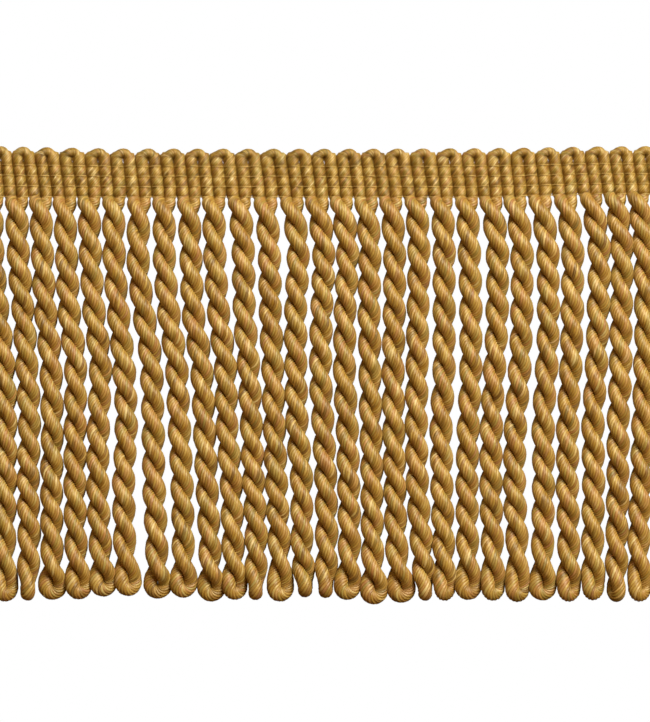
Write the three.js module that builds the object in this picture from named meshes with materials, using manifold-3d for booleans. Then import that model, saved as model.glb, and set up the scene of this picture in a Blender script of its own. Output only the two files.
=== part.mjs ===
// Bullion fringe trim laid face up on its flat back. Millimetres, +Z up.
// X runs along the trim, the heading's arches point to +Y and the cords hang to -Y.
// The origin is the middle of the heading's flat back.
import * as THREE from "three";
import { mergeVertices } from "three/addons/utils/BufferGeometryUtils.js";
import Module from "manifold-3d";

const wasm = await Module();
wasm.setup();

// Heading: one thick ply runs up a column, over an arch and down the next column.
const PLY_PITCH = 4.14;
const RIB_TOP = 4.0;
const RIB_AT_BINDING = 3.4;
const FURROW_TOP = 2.1;
const FURROW_AT_BINDING = 1.8;
const EDGE_HEIGHT = 1.6;
const RIB_SHOULDER = 0.42;
const ARCH_CROWN = 3.7;
const ARCH_TOP_Y = 8.5;
const ARCH_FOOT_Y = 6.4;
const ARCH_MIDDLE_Y = 6.9;
const EYE_Y = 5.5;
const EYE_HEIGHT = 1.5;
const HEADING_BOTTOM_Y = -8.3;

// Rows of the heading from its lower edge up to the foot of the arches.
const HEADING_ROWS = [
  { y: HEADING_BOTTOM_Y, kind: "edge" },
  { y: -7.7, kind: "binding" },
  { y: -5.8, kind: "bulge" },
  { y: -3.8, kind: "binding" },
  { y: -2.2, kind: "bulge" },
  { y: -0.5, kind: "binding" },
  { y: 1.2, kind: "bulge" },
  { y: 3.0, kind: "binding" },
  { y: EYE_Y, kind: "eye" },
];

// Cords: two plies twisted together, drawn as a flat section that turns with them.
const CORD_HALF_WIDTH = 3.3;
const CORD_HALF_THICKNESS = 1.3;
const LOOP_WIDENING = 0.6;
const LOOP_LENGTH = 4.4;
const PHASE_STEP = 60;
const NOTCH_PHASES = { first: 90, fifth: 810, ninth: 1530, thirteenth: 2250 };
const OPEN_LOOP_PHASE = 2340;
const STATION_STEP = 19;

// The narrow strip that the cords' roots grow into.
const STRIP_GAP = 0.3;
const STRIP_DEPTH = 2.2;
const STRIP_LOW = 0.8;
const STRIP_HIGH = 3.0;
const ROOT_INSET = 0.15;
const ROOT_HEIGHT = 1.9;

// One row for each cord, left to right, in mm. arch is the X of the arch at the cord's left.
// root to tip are the X of the cord's axis every 19 mm down from the heading, and drop is
// how far its loop hangs. first to thirteenth are the depths of those notches of its twist,
// and turned is how many degrees the loop is turned from lying open.
const CORD_COLUMNS = [
  "arch", "root", "x19", "x38", "x57", "x76", "x95", "x114", "tip", "drop",
  "first", "fifth", "ninth", "thirteenth", "turned",
];
const CORD_ROWS = [
  [-116.0, -111.2, -110.7, -109.0, -107.0, -106.3, -106.4, -106.8, -106.5, 134.3, 4.0, 41.3, 80.2, 119.7, 35],
  [-107.9, -102.9, -102.2, -100.6, -99.3, -98.5, -98.9, -98.6, -99.2, 134.0, 4.3, 41.3, 80.3, 117.0, 100],
  [-100.6, -94.9, -94.2, -93.1, -91.3, -90.9, -91.1, -91.0, -90.8, 133.8, 4.3, 43.7, 84.7, 122.3, 5],
  [-92.7, -86.9, -86.2, -85.3, -83.1, -83.2, -83.3, -83.0, -81.8, 133.6, 5.3, 43.0, 81.2, 120.7, 30],
  [-84.2, -78.8, -78.2, -77.0, -74.8, -75.5, -75.7, -74.9, -73.5, 132.7, 4.0, 42.7, 81.8, 120.7, 15],
  [-75.4, -70.5, -70.3, -68.9, -67.0, -66.2, -67.1, -66.8, -65.1, 132.6, 4.0, 44.3, 81.0, 119.3, 25],
  [-67.2, -61.9, -62.3, -60.4, -57.8, -57.3, -57.0, -56.2, -55.7, 133.5, 5.3, 45.7, 84.0, 122.7, 0],
  [-58.8, -53.6, -53.5, -52.1, -49.4, -48.6, -47.7, -47.3, -47.2, 133.1, 5.0, 43.5, 82.3, 121.0, 20],
  [-50.3, -45.4, -44.7, -43.9, -41.1, -40.2, -39.4, -38.5, -37.8, 134.4, 5.3, 44.3, 83.7, 123.3, 5],
  [-42.4, -37.1, -36.7, -35.5, -33.2, -32.7, -31.3, -30.7, -29.9, 133.8, 4.7, 43.0, 81.0, 121.3, 35],
  [-33.8, -28.6, -27.2, -26.9, -25.4, -24.6, -23.8, -22.9, -23.2, 133.8, 4.3, 40.3, 80.8, 118.0, 90],
  [-25.5, -19.9, -18.5, -18.2, -17.4, -16.9, -16.2, -15.3, -14.8, 134.3, 5.7, 42.2, 81.8, 120.0, 25],
  [-17.0, -11.2, -8.9, -9.8, -9.7, -9.3, -7.8, -7.7, -6.3, 132.9, 5.3, 41.5, 79.0, 118.7, 85],
  [-8.4, -2.9, -0.4, -1.1, -1.5, -0.6, 0.3, 0.6, 0.1, 133.1, 5.3, 40.0, 78.7, 117.3, 85],
  [-0.1, 5.3, 7.5, 6.7, 6.5, 7.4, 7.9, 8.2, 7.3, 133.8, 4.7, 42.3, 82.3, 121.3, 20],
  [8.2, 13.6, 14.9, 14.7, 15.0, 15.3, 15.7, 15.8, 16.5, 135.3, 5.7, 43.7, 85.3, 123.7, 15],
  [16.3, 21.8, 23.2, 23.1, 22.7, 22.9, 23.3, 23.8, 25.8, 134.8, 5.0, 43.3, 83.3, 123.0, 5],
  [24.3, 30.2, 31.3, 31.0, 30.7, 30.5, 30.8, 32.1, 33.6, 134.1, 4.0, 40.7, 80.3, 119.3, 85],
  [32.8, 38.8, 39.7, 39.7, 39.7, 38.7, 39.0, 39.5, 40.0, 134.1, 4.3, 42.3, 82.3, 120.7, 50],
  [41.9, 47.2, 48.1, 48.6, 48.6, 47.8, 47.4, 47.5, 47.9, 133.8, 4.3, 42.5, 81.7, 120.3, 20],
  [50.0, 55.2, 57.5, 57.4, 56.5, 55.5, 55.3, 55.8, 56.1, 134.1, 4.8, 42.3, 81.7, 120.0, 40],
  [58.3, 63.2, 65.7, 65.6, 64.9, 63.5, 63.1, 64.0, 64.2, 134.6, 5.2, 42.8, 81.7, 119.3, 35],
  [66.4, 71.6, 74.3, 74.5, 73.9, 72.7, 72.9, 72.5, 72.6, 134.1, 5.2, 41.7, 82.7, 121.3, 10],
  [74.7, 80.2, 82.6, 82.4, 81.9, 80.9, 80.8, 81.2, 81.3, 134.4, 4.7, 42.5, 82.0, 121.3, 40],
  [82.8, 88.7, 91.5, 91.1, 90.4, 89.3, 89.5, 89.2, 89.4, 133.9, 3.7, 41.0, 81.0, 120.0, 45],
  [91.1, 96.8, 99.1, 98.7, 98.5, 97.7, 97.6, 97.3, 97.0, 134.5, 3.2, 40.7, 78.0, 116.7, 115],
  [99.1, 104.5, 106.5, 106.9, 106.6, 105.9, 105.4, 104.6, 105.0, 134.4, 2.7, 40.7, 80.7, 119.7, 40],
  [107.0, 112.7, 114.7, 115.0, 114.7, 114.0, 113.7, 113.0, 113.3, 134.0, 2.7, 40.7, 80.7, 119.7, 35],
];
const STATION_COLUMNS = ["root", "x19", "x38", "x57", "x76", "x95", "x114", "tip"];
const END_ARCH_X = 115.2;

const HEADING_MATERIAL = new THREE.MeshStandardMaterial({ color: "#b5812f", roughness: 0.6, metalness: 0 });
const CORD_MATERIAL = new THREE.MeshStandardMaterial({ color: "#b07b2a", roughness: 0.55, metalness: 0 });

const rad = THREE.MathUtils.degToRad;

function namedRow(row) {
  return Object.fromEntries(CORD_COLUMNS.map((column, index) => [column, row[index]]));
}

const CORDS = CORD_ROWS.map(namedRow);

function geometryFrom(points, triangles) {
  const geometry = new THREE.BufferGeometry();
  const positions = points.flatMap((point) => point.toArray());
  geometry.setAttribute("position", new THREE.Float32BufferAttribute(positions, 3));
  geometry.setIndex(triangles);
  return geometry;
}

function namedMesh(name, geometry, material) {
  geometry.computeVertexNormals();
  const mesh = new THREE.Mesh(geometry, material);
  mesh.name = name;
  return mesh;
}

// Each column of the heading leans from its arch down to its cord's root.
function headingColumns() {
  return CORDS.flatMap((cord, index) => {
    const nextArch = index + 1 < CORDS.length ? CORDS[index + 1].arch : END_ARCH_X;
    const half = PLY_PITCH / 2;
    return [
      { top: cord.arch + half, bottom: cord.root - half },
      { top: nextArch - half, bottom: cord.root + half },
    ];
  });
}

// Lines up the heading: a furrow, then the two shoulders of a rib, and so on to the last furrow.
// across runs from -1 at the left foot of an arch through 0 under its eye to 1 at its right foot.
function headingLines() {
  const columns = headingColumns();
  const half = PLY_PITCH / 2;
  const lines = [];
  columns.forEach((column, index) => {
    const leftOfCord = index % 2 === 0;
    const archSide = leftOfCord ? 0.5 : -0.5;
    const furrow = leftOfCord ? 0 : 1;
    const before = columns[index - 1] ?? { top: column.top - PLY_PITCH, bottom: column.bottom - PLY_PITCH };
    lines.push({
      top: (before.top + column.top) / 2,
      bottom: (before.bottom + column.bottom) / 2,
      rib: false,
      across: index === 0 ? 1 : furrow,
    });
    for (const side of [-1, 1]) {
      lines.push({
        top: column.top + side * RIB_SHOULDER * half,
        bottom: column.bottom + side * RIB_SHOULDER * half,
        rib: true,
        across: archSide + (side * RIB_SHOULDER) / 2,
      });
    }
  });
  const last = columns[columns.length - 1];
  lines.push({ top: last.top + half, bottom: last.bottom + half, rib: false, across: 1 });
  return lines;
}

// Points of one line from the lower edge to the top of the arch above it.
function headingLinePoints(line) {
  const span = ARCH_TOP_Y - HEADING_BOTTOM_Y;
  const at = (y, z) => {
    const rise = (y - HEADING_BOTTOM_Y) / span;
    return new THREE.Vector3(THREE.MathUtils.lerp(line.bottom, line.top, rise), y, z);
  };
  const heights = {
    edge: EDGE_HEIGHT,
    binding: line.rib ? RIB_AT_BINDING : FURROW_AT_BINDING,
    bulge: line.rib ? RIB_TOP : FURROW_TOP,
    eye: line.rib ? RIB_TOP : EYE_HEIGHT,
  };
  const points = HEADING_ROWS.map((row) => at(row.y, heights[row.kind]));
  const roundness = Math.sqrt(1 - line.across ** 2);
  const outlineY = THREE.MathUtils.lerp(ARCH_FOOT_Y, ARCH_TOP_Y, roundness);
  const crownY = THREE.MathUtils.lerp((EYE_Y + ARCH_FOOT_Y) / 2, ARCH_MIDDLE_Y, roundness);
  const crownHeight = THREE.MathUtils.lerp(FURROW_TOP, ARCH_CROWN, roundness);
  points.push(at(crownY, crownHeight), at(outlineY, EDGE_HEIGHT));
  return points;
}

// The ribbed face, its edge walls and the flat back as one closed body.
function headingGeometry() {
  const face = headingLines().map(headingLinePoints);
  const rows = face[0].length;
  const points = face.flat();
  const faceAt = (line, row) => line * rows + row;
  const backStart = points.length;
  for (const linePoints of face) {
    points.push(linePoints[0].clone().setZ(0), linePoints[rows - 1].clone().setZ(0));
  }
  const backAt = (line, top) => backStart + line * 2 + (top ? 1 : 0);
  const triangles = [];
  const quad = (a, b, c, d) => triangles.push(a, b, c, a, c, d);
  const lastLine = face.length - 1;
  for (let line = 0; line < lastLine; line += 1) {
    for (let row = 0; row < rows - 1; row += 1) {
      quad(faceAt(line, row), faceAt(line + 1, row), faceAt(line + 1, row + 1), faceAt(line, row + 1));
    }
    quad(backAt(line, false), backAt(line, true), backAt(line + 1, true), backAt(line + 1, false));
    quad(backAt(line, false), backAt(line + 1, false), faceAt(line + 1, 0), faceAt(line, 0));
    quad(faceAt(line, rows - 1), faceAt(line + 1, rows - 1), backAt(line + 1, true), backAt(line, true));
  }
  for (let row = 0; row < rows - 1; row += 1) {
    triangles.push(backAt(0, false), faceAt(0, row), faceAt(0, row + 1));
    triangles.push(backAt(lastLine, false), faceAt(lastLine, row + 1), faceAt(lastLine, row));
  }
  triangles.push(backAt(0, false), faceAt(0, rows - 1), backAt(0, true));
  triangles.push(backAt(lastLine, false), backAt(lastLine, true), faceAt(lastLine, rows - 1));
  return geometryFrom(points, triangles);
}

// A straight-line reading of y at x from a list of [x, y] pairs in rising x.
function readAlong(pairs, x) {
  const last = pairs.length - 1;
  let index = 1;
  while (index < last && pairs[index][0] < x) {
    index += 1;
  }
  const [x0, y0] = pairs[index - 1];
  const [x1, y1] = pairs[index];
  return THREE.MathUtils.mapLinear(x, x0, x1, y0, y1);
}

// The twist's depth below the heading for each phase, in degrees from the root.
function depthsByPhase(cord) {
  const notches = Object.entries(NOTCH_PHASES).map(([name, phase]) => [phase, cord[name]]);
  return [[0, STRIP_GAP + ROOT_INSET], ...notches, [OPEN_LOOP_PHASE + cord.turned, cord.drop - LOOP_LENGTH]];
}

function axisX(cord, depth) {
  const stations = STATION_COLUMNS.map((column, index) => [index * STATION_STEP, cord[column]]);
  return readAlong(stations, depth);
}

function lowestReach(halfWidth, phase) {
  return halfWidth * Math.abs(Math.sin(rad(phase))) + CORD_HALF_THICKNESS * Math.abs(Math.cos(rad(phase)));
}

const CORD_HEIGHT = lowestReach(CORD_HALF_WIDTH, PHASE_STEP);

// The four corners of a cord's section at one depth, turned clockwise by its phase.
function cordSection(cord, depth, phase, halfWidth, height) {
  const centre = new THREE.Vector3(axisX(cord, depth), HEADING_BOTTOM_Y - depth, height);
  const wide = new THREE.Vector3(Math.cos(rad(phase)), 0, -Math.sin(rad(phase))).multiplyScalar(halfWidth);
  const thin = new THREE.Vector3(Math.sin(rad(phase)), 0, Math.cos(rad(phase)));
  thin.multiplyScalar(CORD_HALF_THICKNESS);
  return [
    centre.clone().add(wide).add(thin),
    centre.clone().sub(wide).add(thin),
    centre.clone().sub(wide).sub(thin),
    centre.clone().add(wide).sub(thin),
  ];
}

// Sections down the twist, then three that round off the loop at the end.
function cordSections(cord) {
  const depths = depthsByPhase(cord);
  const loopPhase = OPEN_LOOP_PHASE + cord.turned;
  const sections = [];
  for (let phase = 0; phase < loopPhase - PHASE_STEP / 3; phase += PHASE_STEP) {
    const height = phase === 0 ? ROOT_HEIGHT : CORD_HEIGHT;
    sections.push(cordSection(cord, readAlong(depths, phase), phase, CORD_HALF_WIDTH, height));
  }
  const openness = Math.cos(rad(cord.turned)) ** 2;
  const loopHalfWidth = CORD_HALF_WIDTH + LOOP_WIDENING * openness;
  const loopHeight = lowestReach(loopHalfWidth, loopPhase);
  const roundOff = [
    { below: 0, width: 1 },
    { below: 0.66, width: 0.78 },
    { below: 1, width: 0.38 },
  ];
  for (const { below, width } of roundOff) {
    const depth = cord.drop - LOOP_LENGTH * (1 - below);
    sections.push(cordSection(cord, depth, loopPhase, loopHalfWidth * width, loopHeight));
  }
  return sections;
}

function cordGeometry(cord) {
  const sections = cordSections(cord);
  const sides = sections[0].length;
  const triangles = [];
  for (let ring = 0; ring < sections.length - 1; ring += 1) {
    for (let side = 0; side < sides; side += 1) {
      const here = ring * sides + side;
      const beside = ring * sides + ((side + 1) % sides);
      triangles.push(here, beside, beside + sides, here, beside + sides, here + sides);
    }
  }
  const end = (sections.length - 1) * sides;
  triangles.push(2, 1, 0, 3, 2, 0, end, end + 1, end + 2, end, end + 2, end + 3);
  return geometryFrom(sections.flat(), triangles);
}

function stripGeometry() {
  const left = CORDS[0].root - PLY_PITCH;
  const right = CORDS[CORDS.length - 1].root + PLY_PITCH;
  const strip = new THREE.BoxGeometry(right - left, STRIP_DEPTH, STRIP_HIGH - STRIP_LOW);
  const y = HEADING_BOTTOM_Y - STRIP_GAP - STRIP_DEPTH / 2;
  return strip.translate((left + right) / 2, y, (STRIP_LOW + STRIP_HIGH) / 2);
}

function solidFrom(geometry) {
  geometry.deleteAttribute("normal");
  geometry.deleteAttribute("uv");
  const merged = mergeVertices(geometry);
  const vertProperties = new Float32Array(merged.attributes.position.array);
  const triVerts = new Uint32Array(merged.index.array);
  return new wasm.Manifold(new wasm.Mesh({ numProp: 3, vertProperties, triVerts }));
}

// The cords stand apart; only their roots are joined, in the strip.
function fringeGeometry() {
  let fringe = solidFrom(stripGeometry());
  for (const cord of CORDS) {
    fringe = fringe.add(solidFrom(cordGeometry(cord)));
  }
  const { vertProperties, triVerts } = fringe.getMesh();
  const geometry = new THREE.BufferGeometry();
  geometry.setAttribute("position", new THREE.BufferAttribute(new Float32Array(vertProperties), 3));
  geometry.setIndex(new THREE.BufferAttribute(new Uint32Array(triVerts), 1));
  return geometry;
}

const group = new THREE.Group();
group.add(namedMesh("heading", headingGeometry(), HEADING_MATERIAL));
group.add(namedMesh("fringe", fringeGeometry(), CORD_MATERIAL));

export default group;
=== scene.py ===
"""Bullion fringe trim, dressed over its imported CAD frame.

One thick ply of ten yarns is woven to and fro: up a column of the heading, over a small arch,
down the next column, and then down and back up in a long loop that is twisted into a cord.
Shapes are worked out in millimetres in the CAD model's own frame and put into the meshes in
metres. X runs along the trim, the cords hang to -Y, and the trim lies face up on the floor.
"""

import logging
from dataclasses import dataclass, field, fields, replace
from enum import Enum

import bpy
import numpy as np
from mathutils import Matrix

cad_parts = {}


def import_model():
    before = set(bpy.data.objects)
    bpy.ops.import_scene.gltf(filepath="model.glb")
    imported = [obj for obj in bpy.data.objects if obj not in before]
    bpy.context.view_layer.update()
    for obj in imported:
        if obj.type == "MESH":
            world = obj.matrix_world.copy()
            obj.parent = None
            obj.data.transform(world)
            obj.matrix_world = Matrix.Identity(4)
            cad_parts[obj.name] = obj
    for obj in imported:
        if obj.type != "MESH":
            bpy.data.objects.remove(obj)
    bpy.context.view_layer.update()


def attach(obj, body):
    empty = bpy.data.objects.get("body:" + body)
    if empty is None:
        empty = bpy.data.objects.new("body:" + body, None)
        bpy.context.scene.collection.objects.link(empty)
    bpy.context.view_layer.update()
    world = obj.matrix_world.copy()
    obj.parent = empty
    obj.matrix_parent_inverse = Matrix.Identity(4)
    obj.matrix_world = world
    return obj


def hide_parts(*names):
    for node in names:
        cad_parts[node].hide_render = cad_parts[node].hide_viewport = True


Array = np.ndarray
Pair = tuple[float, float]
Triple = tuple[float, float, float]
Socket = bpy.types.NodeSocket

LOG = logging.getLogger("bullion_fringe")

MM = 0.001
YARN_MAP = "yarn"
# The mesh attribute that holds each point's share of painted shade on flanks in the furrows.
FLANK_SHADE = "flank_shade"

# The photograph, seen from straight above: its height and the row of the heading's middle.
PIXELS_HIGH = 722
PIXELS_PER_MM = 3.0
HEADING_MIDDLE_PIXEL_Y = 173

# The heading and its cords, as part.mjs has them. FOOT_Y is the heading's lower edge.
PLY_PITCH = 4.14
FOOT_Y = -8.3
ARCH_TOP_Y = 8.5
BINDING_ROWS = (-8.1, -4.55, -1.1, 2.3)
END_ARCH_X = 115.2
STATION_STEP = 19.0
NOTCH_PHASES = (90.0, 810.0, 1530.0, 2250.0)
OPEN_LOOP_PHASE = 2340.0

# How high a ply's middle lies above the floor, and how deep below the heading a cord's twist
# begins, in mm. The trim ends in half arches, at these angles from their right foot.
PLY_LEVEL = 2.46
TWIST_START = -0.5
END_ARCH_ANGLES = (125.0, 55.0)

# One row for each cord, left to right, in mm, repeated from part.mjs. arch is the X of the arch
# at the cord's left. root to tip are the X of its axis every 19 mm down from the heading, and
# drop is how far its loop hangs. first to thirteenth are the depths of those notches of its
# twist, and turned is how many degrees the loop is turned from lying open.
STATIONS = ("root", "x19", "x38", "x57", "x76", "x95", "x114", "tip")
NOTCHES = ("first", "fifth", "ninth", "thirteenth")
CORD_COLUMNS = ("arch", *STATIONS, "drop", *NOTCHES, "turned")
CORD_ROWS = (
    (-116, -111.2, -110.7, -109, -107, -106.3, -106.4, -106.8, -106.5, 134.3, 4, 41.3, 80.2, 119.7, 35),
    (-107.9, -102.9, -102.2, -100.6, -99.3, -98.5, -98.9, -98.6, -99.2, 134, 4.3, 41.3, 80.3, 117, 100),
    (-100.6, -94.9, -94.2, -93.1, -91.3, -90.9, -91.1, -91, -90.8, 133.8, 4.3, 43.7, 84.7, 122.3, 5),
    (-92.7, -86.9, -86.2, -85.3, -83.1, -83.2, -83.3, -83, -81.8, 133.6, 5.3, 43, 81.2, 120.7, 30),
    (-84.2, -78.8, -78.2, -77, -74.8, -75.5, -75.7, -74.9, -73.5, 132.7, 4, 42.7, 81.8, 120.7, 15),
    (-75.4, -70.5, -70.3, -68.9, -67, -66.2, -67.1, -66.8, -65.1, 132.6, 4, 44.3, 81, 119.3, 25),
    (-67.2, -61.9, -62.3, -60.4, -57.8, -57.3, -57, -56.2, -55.7, 133.5, 5.3, 45.7, 84, 122.7, 0),
    (-58.8, -53.6, -53.5, -52.1, -49.4, -48.6, -47.7, -47.3, -47.2, 133.1, 5, 43.5, 82.3, 121, 20),
    (-50.3, -45.4, -44.7, -43.9, -41.1, -40.2, -39.4, -38.5, -37.8, 134.4, 5.3, 44.3, 83.7, 123.3, 5),
    (-42.4, -37.1, -36.7, -35.5, -33.2, -32.7, -31.3, -30.7, -29.9, 133.8, 4.7, 43, 81, 121.3, 35),
    (-33.8, -28.6, -27.2, -26.9, -25.4, -24.6, -23.8, -22.9, -23.2, 133.8, 4.3, 40.3, 80.8, 118, 90),
    (-25.5, -19.9, -18.5, -18.2, -17.4, -16.9, -16.2, -15.3, -14.8, 134.3, 5.7, 42.2, 81.8, 120, 25),
    (-17, -11.2, -8.9, -9.8, -9.7, -9.3, -7.8, -7.7, -6.3, 132.9, 5.3, 41.5, 79, 118.7, 85),
    (-8.4, -2.9, -0.4, -1.1, -1.5, -0.6, 0.3, 0.6, 0.1, 133.1, 5.3, 40, 78.7, 117.3, 85),
    (-0.1, 5.3, 7.5, 6.7, 6.5, 7.4, 7.9, 8.2, 7.3, 133.8, 4.7, 42.3, 82.3, 121.3, 20),
    (8.2, 13.6, 14.9, 14.7, 15, 15.3, 15.7, 15.8, 16.5, 135.3, 5.7, 43.7, 85.3, 123.7, 15),
    (16.3, 21.8, 23.2, 23.1, 22.7, 22.9, 23.3, 23.8, 25.8, 134.8, 5, 43.3, 83.3, 123, 5),
    (24.3, 30.2, 31.3, 31, 30.7, 30.5, 30.8, 32.1, 33.6, 134.1, 4, 40.7, 80.3, 119.3, 85),
    (32.8, 38.8, 39.7, 39.7, 39.7, 38.7, 39, 39.5, 40, 134.1, 4.3, 42.3, 82.3, 120.7, 50),
    (41.9, 47.2, 48.1, 48.6, 48.6, 47.8, 47.4, 47.5, 47.9, 133.8, 4.3, 42.5, 81.7, 120.3, 20),
    (50, 55.2, 57.5, 57.4, 56.5, 55.5, 55.3, 55.8, 56.1, 134.1, 4.8, 42.3, 81.7, 120, 40),
    (58.3, 63.2, 65.7, 65.6, 64.9, 63.5, 63.1, 64, 64.2, 134.6, 5.2, 42.8, 81.7, 119.3, 35),
    (66.4, 71.6, 74.3, 74.5, 73.9, 72.7, 72.9, 72.5, 72.6, 134.1, 5.2, 41.7, 82.7, 121.3, 10),
    (74.7, 80.2, 82.6, 82.4, 81.9, 80.9, 80.8, 81.2, 81.3, 134.4, 4.7, 42.5, 82, 121.3, 40),
    (82.8, 88.7, 91.5, 91.1, 90.4, 89.3, 89.5, 89.2, 89.4, 133.9, 3.7, 41, 81, 120, 45),
    (91.1, 96.8, 99.1, 98.7, 98.5, 97.7, 97.6, 97.3, 97, 134.5, 3.2, 40.7, 78, 116.7, 115),
    (99.1, 104.5, 106.5, 106.9, 106.6, 105.9, 105.4, 104.6, 105, 134.4, 2.7, 40.7, 80.7, 119.7, 40),
    (107, 112.7, 114.7, 115, 114.7, 114, 113.7, 113, 113.3, 134, 2.7, 40.7, 80.7, 119.7, 35),
)

# How far the woven edges wander from straight: X along the trim, then the shift in Y, in mm.
# Below the heading the shift fades out over SHIFT_FADE.
TOP_EDGE_SHIFT = ((-112.0, 0.7), (-66.0, -0.2), (0.0, -0.3), (62.0, 0.0), (91.0, 0.45), (112.0, 0.6))
BOTTOM_EDGE_SHIFT = ((-112.0, 0.15), (-66.0, 0.0), (50.0, 0.0), (76.0, 0.7), (95.0, 1.1), (112.0, 1.1))
SHIFT_FADE = 5.0


def eased(knots: list[float], values: list[float], at: Array, level_ends: bool = False) -> Array:
    """Reads a smooth curve that never overshoots its knots.

    Between two knots it is a cubic whose slope at each inner knot is the weighted harmonic mean
    of the slopes on its two sides, or 0 where they differ in sign.

    Args:
        knots: rising places.
        values: the value at each knot.
        at: the places to read.
        level_ends: whether the curve is level at both ends.

    Returns:
        The curve's value at each place.
    """
    x, y = np.asarray(knots, float), np.asarray(values, float)
    gap = np.diff(x)
    rise = np.diff(y) / gap
    near, far = 2 * gap[1:] + gap[:-1], gap[1:] + 2 * gap[:-1]
    same_way = rise[:-1] * rise[1:] > 0
    before = np.where(same_way, rise[:-1], 1.0)
    after = np.where(same_way, rise[1:], 1.0)
    inner = np.where(same_way, (near + far) / (near / before + far / after), 0.0)
    ends = np.zeros(2) if level_ends else rise[[0, -1]]
    slopes = np.concatenate([ends[:1], inner, ends[1:]])
    left = np.clip(np.searchsorted(x, at, side="right") - 1, 0, len(gap) - 1)
    t = np.clip((at - x[left]) / gap[left], 0.0, 1.0)
    beyond = at - np.clip(at, x[0], x[-1])
    cubic = (
        y[left] * (1 + 2 * t) * (1 - t) ** 2
        + slopes[left] * gap[left] * t * (1 - t) ** 2
        + y[left + 1] * t**2 * (3 - 2 * t)
        + slopes[left + 1] * gap[left] * t**2 * (t - 1)
    )
    return cubic + beyond * np.where(beyond < 0, slopes[0], slopes[-1])


def soft_step(start: float, end: float, at: Array) -> Array:
    """Rises smoothly from 0 at start to 1 at end, as 3t^2 - 2t^3."""
    t = np.clip((at - start) / (end - start), 0.0, 1.0)
    return t * t * (3 - 2 * t)


def unit(vectors: Array) -> Array:
    """Each row divided by its own length."""
    return vectors / np.linalg.norm(vectors, axis=-1, keepdims=True)


def squared(facing: Array, tangent: Array) -> Array:
    """facing turned square to the tangent, at unit length."""
    return unit(facing - (facing * tangent).sum(1, keepdims=True) * tangent)


def between(first: float | Array, last: float | Array, share: float | Array) -> float | Array:
    """first where share is 0, last where it is 1, and evenly between the two."""
    return first + (last - first) * share


def share_up(y: float | Array) -> float | Array:
    """The share of the heading's height at which y lies."""
    return (y - FOOT_Y) / (ARCH_TOP_Y - FOOT_Y)


def new_object(name: str, data: bpy.types.ID) -> bpy.types.Object:
    """Puts a mesh, lamp or camera into the scene as an object of that name."""
    made = bpy.data.objects.new(name, data)
    bpy.context.scene.collection.objects.link(made)
    return made


def end_to_end(parts: list) -> "Surface | Stretch":
    """One object of several of the same dataclass, each of its arrays joined end to end."""
    kind = type(parts[0])
    return kind(*(np.concatenate([getattr(part, item.name) for part in parts]) for item in fields(kind)))


def linear_colour(hex_colour: str) -> tuple[float, float, float, float]:
    """Turns an sRGB colour such as "#c9a05a" into Blender's linear red, green, blue and alpha."""
    srgb = np.array([int(hex_colour[i : i + 2], 16) / 255 for i in (1, 3, 5)])
    linear = np.where(srgb <= 0.04045, srgb / 12.92, ((srgb + 0.055) / 1.055) ** 2.4)
    return (*(float(channel) for channel in linear), 1.0)


def add_node(
    tree: bpy.types.NodeTree, kind: str, inputs: dict | None = None, **settings
) -> bpy.types.Node:
    """Adds a node and fills its inputs.

    Args:
        tree: the material's or world's node tree.
        kind: the node's type name.
        inputs: for an input's name or number, a value or the output socket to link to it.
        settings: the node's own properties.

    Returns:
        The new node.
    """
    node = tree.nodes.new(kind)
    for name, value in settings.items():
        setattr(node, name, value)
    for key, value in (inputs or {}).items():
        if isinstance(value, Socket):
            tree.links.new(value, node.inputs[key])
        else:
            node.inputs[key].default_value = value
    return node


@dataclass
class Nodes:
    """Builds the nodes of one tree, each given back as its output."""

    tree: bpy.types.NodeTree

    def math(self, how: str, first: Socket | float, second: Socket | float = 0.0) -> Socket:
        """One Math node, how being its operation."""
        return add_node(self.tree, "ShaderNodeMath", {0: first, 1: second}, operation=how).outputs[0]

    def noise(self, x: Socket, y: Socket, z: float, detail: float) -> Socket:
        """A noise from 0 to 1 at x, y, z."""
        vector = add_node(self.tree, "ShaderNodeCombineXYZ", {"X": x, "Y": y, "Z": z}).outputs[0]
        inputs = {"Vector": vector, "Scale": 1.0, "Detail": detail, "Roughness": 0.55}
        return add_node(self.tree, "ShaderNodeTexNoise", inputs).outputs["Fac"]

    def share(self, value: Socket, none_at: float, most_at: float, most: float) -> Socket:
        """A share that goes from 0 to most as the value goes from none_at to most_at."""
        inputs = {"Value": value, "From Min": none_at, "From Max": most_at, "To Min": 0.0, "To Max": most}
        return add_node(self.tree, "ShaderNodeMapRange", inputs).outputs[0]

    def mixed(self, how: str, share: Socket, under: Socket, over: str) -> Socket:
        """A colour with a share of another, given in hex, mixed or multiplied in."""
        inputs = {0: share, 6: under, 7: linear_colour(over)}
        return add_node(self.tree, "ShaderNodeMix", inputs, data_type="RGBA", blend_type=how).outputs[2]


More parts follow.
